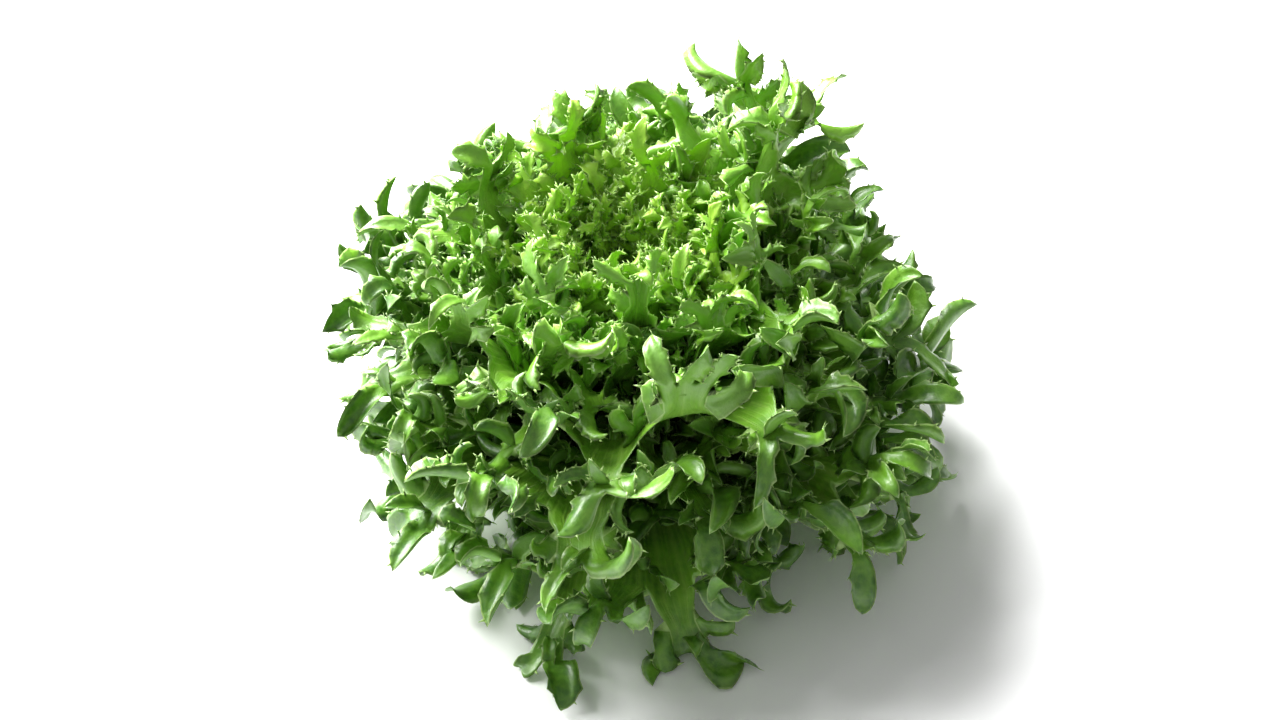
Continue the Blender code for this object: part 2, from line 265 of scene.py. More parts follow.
# The same at any share of the strip's length, with a smooth middle line
def ribbonAt(frames, shares):
    steps = len(frames) - 1
    place = np.clip(np.asarray(shares) * steps, 0, steps - 1e-6)
    low = place.astype(int)
    part = (place - low)[:, None]
    a, b = frames[low], frames[low + 1]
    span = np.linalg.norm(b[:, 0] - a[:, 0], axis=1)[:, None]
    mixed = a + (b - a) * part[:, :, None]
    mixed[:, 0] = (
        (2 * part**3 - 3 * part**2 + 1) * a[:, 0]
        + (part**3 - 2 * part**2 + part) * span * a[:, 1]
        + (3 * part**2 - 2 * part**3) * b[:, 0]
        + (part**3 - part**2) * span * b[:, 1]
    )
    mixed[:, 1:] /= np.linalg.norm(mixed[:, 1:], axis=2)[:, :, None]
    return mixed


# What each point of a leaf carries for its material and for its small teeth
markNames = ("vein", "pitch", "edge", "tone", "rib", "tooth", "veined")


# A leaf while it grows. inner is 1 at the heart and 0 further out
class LeafSheet:
    def __init__(self, fine, inner):
        self.fine, self.inner = fine, inner
        long, short = leafForm["toothLength"]
        self.toothLength = short + (long - short) * inner
        self.points, self.halves, self.marks, self.faces, self.ties = [], [], [], [], []
        self.anchors = []
        self.count = 0

    # Adds a row and gives its numbers. marks has a value or a row of them for each of markNames, and
    # tie the anchors of the lobe and of the tip, with how stiffly the row keeps to each
    def addRow(self, points, halves, marks, tie=(-1, -1, 0.0, 0.0)):
        self.points.append(np.asarray(points, float))
        self.ties.append(np.tile(np.array(tie, float), (len(points), 1)))
        self.halves.append(np.asarray(halves, float))
        self.marks.append(np.stack([np.full(len(points), m, float) for m in marks], axis=1))
        self.count += len(points)
        return np.arange(self.count - len(points), self.count)

    def anchorAt(self, place):
        self.anchors.append(list(place))
        return len(self.anchors) - 1

    def join(self, first, second):
        a, b, c, d = first[:-1], first[1:], second[1:], second[:-1]
        flip = np.arange(len(a)) >= len(a) // 2
        one = np.where(flip[:, None], np.stack([a, b, c], 1), np.stack([a, b, d], 1))
        two = np.where(flip[:, None], np.stack([a, c, d], 1), np.stack([b, c, d], 1))
        self.faces += [one, two]

    # Joins a row to one with a whole number of times as many steps
    def widen(self, first, second):
        times = (len(second) - 1) // (len(first) - 1)
        a, b = first[:-1], first[1:]
        middle = times // 2
        for i in range(times):
            near, far = second[i::times][: len(a)], second[i + 1 :: times][: len(a)]
            self.faces.append(np.stack([a if i < middle else b, far, near], 1))
        self.faces.append(np.stack([a, b, second[middle::times][: len(a)]], 1))

    def close(self, row, point):
        self.faces.append(np.stack([row[:-1], row[1:], np.full(len(row) - 1, point)], 1))

    def whole(self):
        return (
            np.array(self.anchors),
            np.concatenate(self.ties),
            np.concatenate(self.points),
            np.concatenate(self.halves),
            np.concatenate(self.marks),
            np.concatenate(self.faces),
        )


# A cupped tip like the bowl of a spoon, on the part of a lobe's rim given by row. draw and fine are
# the random draws of the lobe and of what is finer
def growTip(sheet, draw, row, start, base, size, forward, across, side, tone, vein, toothy, tie, rows):
    fine, inner = sheet.fine, sheet.inner
    tone += fine.uniform(-0.5, 0.5)
    length = leafForm["tipLength"] * size * draw.uniform(*leafForm["tipLengths"])
    halfWidth = leafForm["tipHalfWidth"] * size * draw.uniform(*leafForm["tipWidths"])
    back = draw.random() < leafForm["backCurlShare"]
    curl = side * (draw.uniform(*leafForm["backCurls"]) if back else -draw.uniform(*leafForm["curls"]))
    sweep = draw.uniform(-0.5, 0.5) * leafForm["tipSweep"]
    cup = -math.copysign(draw.uniform(*leafForm["cups"]), curl)
    curl *= leafForm["tipCurl"]
    halfWidth *= leafForm["tipSlimness"] * fine.uniform(0.75, 1.15)
    frames = ribbon(start, forward, across, length, curl, sweep)
    columns = len(row)
    y = np.linspace(-1, 1, columns)
    shares = (np.arange(1, rows + 1) / (rows + 0.55)) ** 0.92

    # The outline, from the width of its foot to its widest place and then to the point
    widest = fine.uniform(*leafForm["tipWidest"])
    blunt = fine.uniform(*leafForm["tipBlunt"]) + 0.3 * inner
    startWidth = np.linalg.norm(base[-1] - base[0]) / 2
    swell = startWidth + (halfWidth - startWidth) * smoothStep(0.0, widest * 0.85, shares)
    fall = 1 - np.clip((shares - widest) / (1 - widest), 0, 1) ** 2.3
    width = swell * fall**blunt

    # Its cup, its rolled rim and its twist
    at = ribbonAt(frames, shares)
    middle, ahead, sideways, face = at[:, 0], at[:, 1], at[:, 2], at[:, 3]
    roll = fine.choice((-1, 1, 1)) * fine.uniform(*leafForm["rolls"]) * np.sign(cup)
    phase = fine.uniform(0, 6.28)
    twist = fine.uniform(-1, 1) * leafForm["tipTwist"] * shares[:, None] ** 1.5
    face, sideways = (
        face * np.cos(twist) - sideways * np.sin(twist), sideways * np.cos(twist) + face * np.sin(twist)
    )
    grid = np.outer(width, y)
    lift = leafForm["cupShare"] * cup * np.outer(width, np.abs(y) ** 1.8)
    lift += roll * np.outer(width, smoothStep(0.55, 1.0, np.abs(y)) ** 2)
    waves = np.sin(shares * fine.uniform(9, 15) + phase)[:, None] * np.sign(y)[None, :]
    lift += (0.10 + 0.18 * inner) * width[:, None] * np.abs(y)[None, :] ** 3 * waves
    points = middle[:, None] + sideways[:, None] * grid[:, :, None] + face[:, None] * lift[:, :, None]
    rest = base - (frames[0][0] + np.outer(y * startWidth, frames[0][2]))
    points = points + rest[None] * (1 - smoothStep(0, 0.42, shares))[:, None, None]

    # Larger teeth, drawn out of the rim
    teeth = np.zeros((rows, 2))
    for way in (0, 1):
        i = fine.randrange(0, 3)
        while i < rows - 2:
            if fine.random() < toothy:
                full = sheet.toothLength * fine.uniform(0.4, 1.3) * (0.6 + 0.4 * size)
                teeth[i, way] = full * (1 - 0.5 * shares[i])
            i += fine.randrange(2, 4)
    for way, sign in ((0, -1), (1, 1)):
        column = 0 if way == 0 else -1
        out = sideways * sign + ahead * fine.uniform(0.3, 0.9) + face * fine.uniform(-0.5, 0.5)
        points[:, column] += out * teeth[:, way, None]
        points[1:-1, column] -= sideways[1:-1] * sign * ((teeth[2:, way] + teeth[:-2, way]) * 0.12)[:, None]

    edge = np.minimum((1 - np.abs(y)) * width[:, None], ((1 - shares) * length * 0.8)[:, None])
    rim = np.abs(y) > 0.999
    half = leafForm["lobeHalf"] + leafForm["veinHalf"] * np.exp(-((y / 0.16) ** 2)) * 0.8
    anchor = sheet.anchorAt(start)
    stiff = leafForm["tipFreedom"] * smoothStep(0, 0.4, shares)
    previous = row
    for i in range(rows):
        small = np.where(rim, toothSize(fine, columns, toothy * 0.55), 0)
        marks = (vein + (y + 1) / 2, width[i] * 2, edge[i], tone, 0.0, small, 0.0)
        current = sheet.addRow(points[i], np.where(rim, 0, half), marks, (tie[0], anchor, tie[1], stiff[i]))
        sheet.join(previous, current)
        previous = current
    point = frames[-1, 0] + frames[-1, 1] * 0.0006 * size
    marks = (vein + 0.5, width[-1], 0.0, tone, 0.0, 0.0, 0.0)
    apex = sheet.addRow([point], [0.0], marks, (tie[0], anchor, tie[1], stiff[-1]))
    sheet.close(previous, apex[0])


def toothSize(fine, count, chance):
    return np.array([fine.uniform(0.5, 1.0) if fine.random() < chance else 0.0 for _ in range(count)])


# A lobe of the rim: a short stalk on the part of the blade's rim given by row, with its tips
def growLobe(
    sheet, draw, row, size, stalk, outward, side, tips, vein, toothy, bends=leafForm["lobeBend"],
    sideTips=True,
):
    fine, inner = sheet.fine, sheet.inner
    edgePoints = np.concatenate(sheet.points)[row]
    ends = [Vector(edgePoints[i]) for i in (0, len(row) // 2, -1)]
    across = (ends[2] - ends[0]).normalized()
    bend = side * draw.uniform(*bends)
    forward = outward * math.cos(bend) + Vector((0, 0, math.sin(bend)))
    length = stalk * draw.uniform(0.8, 1.1)
    curl, sweep = side * draw.uniform(-0.4, 0.3), draw.uniform(-0.3, 0.3)
    frames = ribbon(ends[1], forward, across, length, curl, sweep)
    end = [Vector(v) for v in frames[-1]]
    chord = (ends[2] - ends[0]).length
    halfWidth = chord * draw.uniform(0.42, 0.5)
    # Tone darker for outer leaves: partly their own deeper green, partly painted shade under the head
    tone = fine.uniform(-1, 1) + leafForm["heartTone"] * inner - leafForm["outerDarkAndPaintedShade"]
    columns = len(row)
    y = np.linspace(-1, 1, columns)
    rows = leafForm["stalkRows"] if sideTips else leafForm["frillStalkRows"]
    tipRows = leafForm["tipRows"] if sideTips else leafForm["frillTipRows"]
    tipSize = size * (1 - leafForm["heartFineness"] * inner)
    shares = np.arange(1, rows + 1) / rows

    # The stalk, with its waist and a fold for each tip
    at = ribbonAt(frames, shares)
    width = chord / 2 + (halfWidth - chord / 2) * shares
    width = width * (1 - fine.uniform(*leafForm["waist"]) * np.sin(math.pi * shares) ** 1.5)
    fold = leafForm["stalkFold"] * size
    dip = fold * np.sin(math.pi * tips * (y + 1) / 2)
    grid = np.outer(width, y)
    points = at[:, 0][:, None] + at[:, 2][:, None] * grid[:, :, None]
    points = points + at[:, 3][:, None] * (np.outer(shares, dip))[:, :, None]
    rest = edgePoints - (frames[0][0] + np.outer(y * chord / 2, frames[0][2]))
    points = points + rest[None] * (1 - smoothStep(0, 0.95, shares))[:, None, None]
    rim = np.abs(y) > 0.999
    overTips = ((y + 1) / 2 * tips) % 1
    full = leafForm["lobeHalf"] + leafForm["veinHalf"] * np.exp(-((overTips - 0.5) / 0.12) ** 2)
    anchor = sheet.anchorAt(ends[1])
    freedom = leafForm["lobeFreedom"][0 if side > 0 else 1]
    stiff = freedom * smoothStep(0, 1, shares)
    previous = row
    sideRows = []
    for i in range(rows):
        thinRim = i < 2 or i > rows - 3 or not sideTips
        half = np.where(rim & thinRim, 0, full)
        edge = (1 - np.abs(y)) * width[i]
        if i == rows - 1:
            rim = np.isclose(overTips, 0) | np.isclose(overTips, 1)
            half = np.where(rim, 0, half)
            edge = (0.5 - np.abs(overTips - 0.5)) * width[i] / tips * 2
        small = np.where(rim, toothSize(fine, columns, toothy * 0.7), 0)
        if i < 2 and fine.random() < toothy:
            way = fine.choice((0, -1))
            sign = -1 if way == 0 else 1
            push = sheet.toothLength * fine.uniform(0.5, 1.0)
            points[i, way] += (at[i, 2] * sign + at[i, 1] * 0.5) * push
        pitch = width[i] * 2 / tips
        marks = (vein + tips * (y + 1) / 2, pitch, edge, tone * shares[i], 0.0, small, 1 - shares[i])
        current = sheet.addRow(points[i], half, marks, (anchor, -1, stiff[i], 0.0))
        sheet.join(previous, current)
        previous = current
        if 1 <= i <= rows - 2:
            sideRows.append((current[0], current[-1]))

    # A smaller tip on each side of the stalk
    sideRows = np.array(sideRows)
    for way, column, order in ((-1, 0, 1), (1, -1, -1)) if sideTips else ():
        part = sideRows[::order, 0 if way < 0 else 1]
        base = points[1:-1, column][::order]
        ahead, across, face = (Vector(at[rows // 2][k]) for k in (1, 2, 3))
        ownSide = fine.choice((-1, 1))
        fan = Quaternion(face, -way * fine.uniform(-0.1, 0.75))
        turn = Quaternion(ahead, fine.uniform(0.2, 1.1) * ownSide) @ fan
        start = Vector(base[len(base) // 2 - 1] / 2 + base[len(base) // 2] / 2)
        growTip(
            sheet, fine, part, start, base, tipSize * leafForm["sideTipSize"] * fine.uniform(0.7, 1.25),
            turn @ (across * way), turn @ (ahead * -way), ownSide, tone, vein + (0 if way < 0 else tips - 1),
            min(1, toothy * 1.3), (anchor, stiff[rows // 2]), leafForm["sideTipRows"],
        )

    # A small one on its face
    if sideTips:
        k = rows // 2
        slide = fine.uniform(-0.35, 0.35)
        reach = leafForm["faceTipReach"]
        span = np.linspace(slide - reach, slide + reach, leafForm["faceTipColumns"] + 1)
        base = at[k, 0] + np.outer(span * width[k], at[k, 2]) + at[k, 3] * leafForm["frillDepth"]
        base = base + (points[k, columns // 2] - at[k, 0])
        half = np.where(np.abs(span - slide) > reach - 0.001, 0, leafForm["lobeHalf"])
        marks = (vein + 0.5, 0.01, 0.002, tone, 0, 0, 0)
        part = sheet.addRow(base, half, marks, (anchor, -1, stiff[k], 0.0))
        ahead, across, face = (Vector(at[k, j]) for j in (1, 2, 3))
        turn = Quaternion(across, fine.uniform(0.5, 1.5)) @ Quaternion(face, fine.uniform(-0.7, 0.7))
        growTip(
            sheet, fine, part, Vector(base[len(base) // 2]), base,
            tipSize * leafForm["faceTipSize"] * fine.uniform(0.7, 1.3), turn @ ahead, turn @ across, -1,
            tone, vein, min(1, toothy * 1.3), (anchor, stiff[k]), leafForm["frillTipRows"],
        )

    # The tips at its end, fanned out and lifted by turns
    perTip = (columns - 1) // tips
    for i in range(tips):
        way = 2 * i / (tips - 1) - 1
        fan = Quaternion(end[3], way * draw.uniform(0.45, 0.85) + draw.uniform(-0.1, 0.1))
        turn = Quaternion(end[2], -side * (-1) ** i * draw.uniform(0.1, 0.7)) @ fan
        middle = (2 * i + 1) / tips - 1
        start = end[0] + end[2] * (halfWidth * middle) + end[3] * (fold * (-1) ** i)
        part = slice(i * perTip, (i + 1) * perTip + 1)
        growTip(
            sheet, draw, previous[part], start, points[-1][part], tipSize * fine.uniform(0.72, 1.10),
            turn @ end[1], turn @ end[2], side, tone, vein + i, toothy, (anchor, freedom), tipRows,
        )


def lobeDirection(b):
    angle = b * math.radians(leafForm["fanHalfAngle"])
    return Vector((math.cos(angle) + 0.45, math.sin(angle), 0)).normalized()


# A whole leaf in its own measures: along it, across it and off its face
def leafSheet(number, openness, ownLength, ownWidth):
    draw = random.Random(headForm["seed"] + number)
    fine = random.Random(headForm["fineSeed"] + number)
    size = byOpenness(leafForm["frillSizes"], openness) * draw.uniform(0.94, 1.06)
    size *= leafForm["ownFrills"].get(number + 1, 1)
    length = byOpenness(leafForm["bladeLengths"], openness) * draw.uniform(0.93, 1.07) * ownLength
    lobes = next(count for limit, count in leafForm["lobeCounts"] if openness < limit)
    radius = float(meridianPoint(np.float64(length), np.float64(openness))[0])
    halfWidth = leafForm["bladeWidthShare"] * math.radians(headForm["leafSpread"]) * radius * ownWidth
    centre = leafForm["fanCentre"] * length
    square = leafForm["fanSquareness"]
    tipCounts = [3 if i % 4 == 1 else 2 for i in range(lobes)]
    veinKnots = np.concatenate([[0], np.cumsum(tipCounts)])
    toothy = float(np.interp(openness, leafForm["toothyKnots"], leafForm["toothyShares"]))
    sheet = LeafSheet(fine, float(np.interp(openness, (0.1, 0.7), (1, 0))))
    stalk = byOpenness(leafForm["stalkLengths"], openness) * size
    phases = [fine.uniform(0, 6.28) for _ in range(6)]
    ribWidth = leafForm["ribHalfWidth"] * (0.45 + 0.55 * openness)

    # up goes from the foot (0) to the rim (1), and b round the rim from one side (-1) to the other
    def bladePoints(up, b):
        angle = b * math.radians(leafForm["fanHalfAngle"])
        spread = up**1.05
        ahead, sideways = np.cos(angle), np.sin(angle)
        rimAlong = centre + (length - centre) * np.sign(ahead) * np.abs(ahead) ** square
        rimAcross = halfWidth * np.sign(sideways) * np.abs(sideways) ** square
        wave = leafForm["ruffle"] * size * up**3 * np.sin(math.pi * lobes * (b + 1) / 2)
        inside = 1 - np.abs(b) ** 6
        broad, middling, small = leafForm["swells"]
        wave = wave + inside * size * up * (1 - up) * (
            broad * np.sin(5 * b + 4 * up + phases[0]) + middling * np.sin(11 * b - 7 * up + phases[1])
        )
        wave = wave + inside * size * up**1.5 * (1 - up**4) * small * np.sin(
            math.pi * lobes * (b + 1) + phases[2] + 3 * np.sin(9 * up + phases[3])
        )
        return np.stack([rimAlong * up, ribWidth * b * (1 - spread) + rimAcross * spread, wave], axis=1)

    columns = leafForm["columnsPerLobe"]
    previous = None
    for up in leafForm["bladeRows"]:
        steps = lobes * (leafForm["coarseColumns"] if up < leafForm["fineFrom"] else columns)
        b = np.linspace(-1, 1, steps + 1)
        lobePlace = (b + 1) / 2 * lobes
        veinPlace = np.interp(lobePlace, np.arange(lobes + 1), veinKnots)
        rim = np.abs(b) > 0.9999
        notch = np.abs(lobePlace - np.round(lobePlace)) * 2 * halfWidth * 1.6 / lobes
        if up == 1:
            rim = rim | (np.arange(steps + 1) % columns == 0)
        localWidth = 2 * (ribWidth * (1 - up) + halfWidth * 1.35 * up)
        pitch = localWidth / veinKnots[-1]
        ridge = np.exp(-(((veinPlace % 1) - 0.5) / 0.13) ** 2) * np.interp(up, (0, 0.25, 1), (0.2, 1, 0.9))
        half = leafForm["ribHalf"] * (1 - up) ** 1.5 * (1 - np.abs(b)) ** 0.8 + leafForm["bladeHalf"]
        half = np.where(rim, 0, half + leafForm["veinHalf"] * ridge)
        edge = np.minimum((1 - np.abs(b)) * localWidth / 2, np.hypot(notch, (1 - up) * length * 0.5))
        small = np.where(rim & (up > 0.3), toothSize(fine, steps + 1, toothy * 0.8), 0)
        rib = (1 - smoothStep(0.05, 0.75, up)) * (1 - 0.35 * np.abs(b))
        points = bladePoints(np.full(steps + 1, up), b)
        if 0.3 < up < 1:
            for way, sign in ((0, -1), (-1, 1)):
                if fine.random() < toothy:
                    points[way] += np.array([0.4, sign, 0]) * sheet.toothLength * fine.uniform(0.5, 1.1)
        current = sheet.addRow(points, half, (veinPlace, pitch, edge, 0.0, rib, small, 1.0))
        if previous is not None:
            (sheet.join if len(previous) == len(current) else sheet.widen)(previous, current)
        previous = current

    # The lobes bend up and down by turns
    for i in range(lobes):
        lobeShape = leafForm["lobeShapes"][number + 1][i]
        part = previous[i * columns : (i + 1) * columns + 1]
        growLobe(
            sheet, random.Random(f"{headForm['seed']} {number} {i} {lobeShape}"), part, size, stalk,
            lobeDirection(-1 + (2 * i + 1) / lobes), (-1) ** i, tipCounts[i], veinKnots[i], toothy,
        )

    # Small frills stand in layers on the blade's face
    layers = 3 if openness > 0.5 else 2
    for i in range(layers * (lobes - 1)):
        b = -1 + 2 * (i / layers + 0.5 + fine.uniform(-0.25, 0.25)) / (lobes - 1)
        b = min(max(b, -0.92), 0.92)
        up = fine.uniform(*leafForm["frillPlaces"]) - leafForm["frillLayerStep"] * (i % layers)
        reach = leafForm["frillReach"] / lobes * fine.uniform(0.8, 1.1) / max(up, 0.5)
        foot = np.linspace(b - reach, b + reach, leafForm["frillColumns"] + 1)
        base = bladePoints(np.full(len(foot), up), foot)
        base[:, 2] += leafForm["frillDepth"]
        half = np.where(np.abs(foot - b) > reach * 0.999, 0, leafForm["lobeHalf"])
        row = sheet.addRow(base, half, (0.5, 0.01, 0.002, 0.0, 0.0, 0.0, 0.6))
        growLobe(
            sheet, fine, row, size * leafForm["innerFrillSize"], stalk * fine.uniform(0.35, 0.7),
            lobeDirection(b), -1, 2, fine.randrange(veinKnots[-1]), toothy * 1.2,
            leafForm["innerFrillBends"], False,
        )
    return sheet.whole()


# Where the head puts each anchor, and how it turns and stretches what lies round it
def turnsAt(anchors, lay):
    step = 0.0005
    middle = lay(anchors)
    sides = [(lay(anchors + step * np.eye(3)[i]) - middle) / step for i in range(3)]
    return middle, np.stack(sides, axis=2)


# The turn in that, without the stretching
def nearestTurn(spread):
    u, _, vt = np.linalg.svd(spread)
    return u @ vt


# Lays a leaf on the head, with its lobes and tips free to keep more of their own form
def layFreely(points, anchors, ties, lay):
    laid = lay(points)
    middles, spreads = turnsAt(anchors, lay)
    lobe, tip = ties[:, 0].astype(int), ties[:, 1].astype(int)
    lobeShare, tipShare = ties[:, 2, None], ties[:, 3, None]
    turns = nearestTurn(spreads)

    def stiffAt(place, laidPlace, owner, share):
        own = middles[owner] + np.einsum("nij,nj->ni", turns[owner], place - anchors[owner])
        return laidPlace + (own - laidPlace) * share

    free = np.where(lobeShare > 0, stiffAt(points, laid, lobe, lobeShare), laid)
    tipped = tip >= 0
    names, first = np.unique(tip[tipped], return_index=True)
    owners = lobe[tipped][first]
    shares = lobeShare[tipped][first]
    starts = stiffAt(anchors[names], middles[names], owners, shares)
    mixed = spreads[names] * (1 - shares[:, :, None]) + turns[owners] * shares[:, :, None]
    tipTurns = nearestTurn(mixed)
    place = np.searchsorted(names, tip[tipped])
    own = starts[place] + np.einsum("nij,nj->ni", tipTurns[place], points[tipped] - anchors[tip[tipped]])
    free[tipped] += (own - free[tipped]) * tipShare[tipped]
    low = headForm["floorClearance"]
    free[:, 2] = low + 0.002 * np.logaddexp(0, (free[:, 2] - low) / 0.002)
    return free


def pointNormals(points, faces):
    corners = points[faces]
    faceNormals = np.cross(corners[:, 1] - corners[:, 0], corners[:, 2] - corners[:, 0])
    normals = np.zeros_like(points)
    for i in range(3):
        np.add.at(normals, faces[:, i], faceNormals)
    return normals / np.maximum(np.linalg.norm(normals, axis=1), 1e-15)[:, None]


def edgesOf(faces):
    return np.concatenate([faces[:, [0, 1]], faces[:, [1, 2]], faces[:, [2, 0]]])


# The two faces of a leaf, joined at its rim, with the marks of every point
def closedLeaf(points, halves, marks, faces):
    normals = pointNormals(points, faces)
    thick = halves > 0
    count = len(points)
    twin = np.where(thick, np.cumsum(thick) - 1 + count, np.arange(count))
    upper = points + normals * halves[:, None]
    lower = (points - normals * halves[:, None])[thick]
    ends = edgesOf(faces)
    codes = ends[:, 0] * count + ends[:, 1]
    single = ends[~np.isin(codes, ends[:, 1] * count + ends[:, 0])]
    single = single[thick[single[:, 0]] | thick[single[:, 1]]]
    a, b = single.T
    walls = np.concatenate([np.stack([b, a, twin[a]], 1), np.stack([b, twin[a], twin[b]], 1)])
    walls = walls[(walls != np.roll(walls, 1, axis=1)).all(axis=1)]
    under = np.concatenate([np.zeros(count), np.ones(int(thick.sum()))])
    allPoints, allMarks = np.concatenate([upper, lower]), np.concatenate([marks, marks[thick]])
    return allPoints, np.concatenate([faces, twin[faces[:, ::-1]], walls]), allMarks, under, normals


# The direction away from the leaf at each point of its rim
def outwardAtRim(points, halves, faces):
    ends = edgesOf(faces)
    ends = np.concatenate([ends, ends[:, ::-1]])
    ends = ends[(halves[ends[:, 0]] == 0) & (halves[ends[:, 1]] > 0)]
    outward = np.zeros_like(points)
    np.add.at(outward, ends[:, 0], points[ends[:, 0]] - points[ends[:, 1]])
    return outward / np.maximum(np.linalg.norm(outward, axis=1), 1e-12)[:, None]


def meshFrom(name, points, faces):
    mesh = bpy.data.meshes.new(name)
    mesh.vertices.add(len(points))
    mesh.vertices.foreach_set("co", points.astype(np.float32).ravel())
    mesh.loops.add(len(faces) * 3)
    mesh.loops.foreach_set("vertex_index", faces.astype(np.int32).ravel())
    mesh.polygons.add(len(faces))
    mesh.polygons.foreach_set("loop_start", np.arange(0, len(faces) * 3, 3, dtype=np.int32))
    mesh.polygons.foreach_set("use_smooth", np.ones(len(faces), bool))
    mesh.update(calc_edges=True)
    mesh.validate()
    return mesh


def putMark(mesh, name, values):
    kind, field = ("FLOAT", "value") if values.ndim == 1 else ("FLOAT_VECTOR", "vector")
    mesh.attributes.new(name, kind, "POINT").data.foreach_set(field, values.astype(np.float32).ravel())


def placed(name, data):
    made = bpy.data.objects.new(name, data)
    bpy.context.scene.collection.objects.link(made)
    return made


def makeLeaf(number, material):
    first = headForm["firstOpenness"]
    openness = first + (1 - first) * number / (headForm["leafCount"] - 1)
    azimuth = headForm["firstAzimuth"] + headForm["turnPerLeaf"] * number
    azimuth += leafForm["ownTurns"].get(number + 1, 0)
    ownWidth = leafForm["ownWidths"].get(number + 1, 1)
    anchors, ties, points, halves, marks, faces = leafSheet(
        number, openness, leafForm["ownLengths"].get(number + 1, 1), ownWidth
    )
    spread = math.radians(headForm["leafSpread"]) * (0.6 + 0.4 * ownWidth)
    laid = layFreely(points, anchors, ties, lambda p: headPoints(p, math.radians(azimuth), openness, spread))
    faces = faces[:, ::-1]
    solidPoints, solidFaces, allMarks, under, normals = closedLeaf(laid, halves, marks, faces)
    mesh = meshFrom(f"fineLeaf_{number + 1:02d}", solidPoints, solidFaces)
    allMarks[len(laid):, markNames.index("tooth")] = 0
    for name, values in zip(markNames, allMarks.T):
        putMark(mesh, name, values)
    putMark(mesh, "under", under)
    spare = np.zeros((len(solidPoints) - len(laid), 3))
    putMark(mesh, "aim", np.concatenate([outwardAtRim(laid, halves, faces), spare]))
    putMark(mesh, "lie", np.concatenate([normals, spare]))
    mesh.materials.append(material)
    return placed(mesh.name, mesh)


print("rules ready")

# How the leaves look: their colours, which are paler towards the heart
leafLook = {
    "heartPlace": (0.0, -0.02, 0.115),
    "heartReach": (0.040, 0.112),
    "heartShare": 0.60,
    "heartDeep": (0.185, 0.480, 0.015),
    "heartLight": (0.440, 0.740, 0.065),
    "outerDeep": (0.036, 0.142, 0.003),
    "outerLight": (0.215, 0.500, 0.023),
    "veinTint": (0.310, 0.530, 0.080),
    "ribTint": (0.480, 0.620, 0.270),
    # Colour of the pale rim line: partly the leaf's paler margin, partly a painted highlight where light
    # catches the edge
    "rimPaleAndHighlightTint": (0.500, 0.700, 0.240),
    "underTint": (0.130, 0.300, 0.045),
    "glow": (0.400, 0.680, 0.030),
    "glowShare": (0.36, 0.10),
    "roughness": 0.46,
    "coat": 0.65,
    "coatRoughness": 0.29,
    # The patterns: how fine they are, and how far out veins and the pale rim (partly paler margin, partly
    # painted highlight) show in full and at all
    "patchScale": 55.0,
    "grainScale": 420.0,
    "blisterSize": 0.0034,
    "veinWidth": (0.00010, 0.00050),
    "stripeWidth": (0.0003, 0.0012),
    "rimPaleAndHighlightWidth": (0.00008, 0.00045),
    # How much each shows in the colour, how high it stands, and the relief's strength and depth
    "shows": {
        "grain": 0.22, "blisters": 0.16, "stripes": 0.24, "under": 0.35, "veins": 0.50, "rib": 0.85,
        "rim": 0.65,
    },
    "heights": {"blisters": -0.45, "veins": -0.50, "stripes": -0.22, "grain": 0.75, "patches": 1.6},
    "relief": (0.6, 0.0008),
}


class Nodes:
    def __init__(self, tree):
        self.tree = tree

    def make(self, kind, inputs=None, **settings):
        node = self.tree.nodes.new(kind)
        for key, value in settings.items():
            setattr(node, key, value)
        for key, value in (inputs or {}).items():
            if isinstance(value, bpy.types.NodeSocket):
                self.tree.links.new(value, node.inputs[key])
            else:
                node.inputs[key].default_value = value
        return node

    def out(self, kind, inputs=None, **settings):
        return self.make(kind, inputs, **settings).outputs[0]

    def maths(self, operation, *values):
        return self.out("ShaderNodeMath", dict(enumerate(values)), operation=operation)

    def plus(self, *values):
        return self.maths("ADD", *values)

    def times(self, *values):
        return self.maths("MULTIPLY", *values)

    def mark(self, name):
        return self.make("ShaderNodeAttribute", attribute_name=name).outputs["Fac"]

    def between(self, value, low, high, first=0.0, last=1.0):
        inputs = {"Value": value, "From Min": low, "From Max": high, "To Min": first, "To Max": last}
        return self.out("ShaderNodeMapRange", inputs, interpolation_type="SMOOTHSTEP")

    def tint(self, factor, first, second):
        node = self.make("ShaderNodeMix", data_type="RGBA")
        for socket, value in ((node.inputs[0], factor), (node.inputs[6], first), (node.inputs[7], second)):
            if isinstance(value, bpy.types.NodeSocket):
                self.tree.links.new(value, socket)
            elif isinstance(value, tuple):
                socket.default_value = (*value, 1)
            else:
                socket.default_value = value
        return node.outputs[2]

    def noise(self, place, scale, detail=2.0, roughness=0.5):
        inputs = {"Vector": place, "Scale": scale, "Detail": detail, "Roughness": roughness}
        return self.out("ShaderNodeTexNoise", inputs)


def newMaterial(name):
    made = bpy.data.materials.new(name)
    made.use_nodes = True
    made.node_tree.nodes.clear()
    return made, Nodes(made.node_tree)


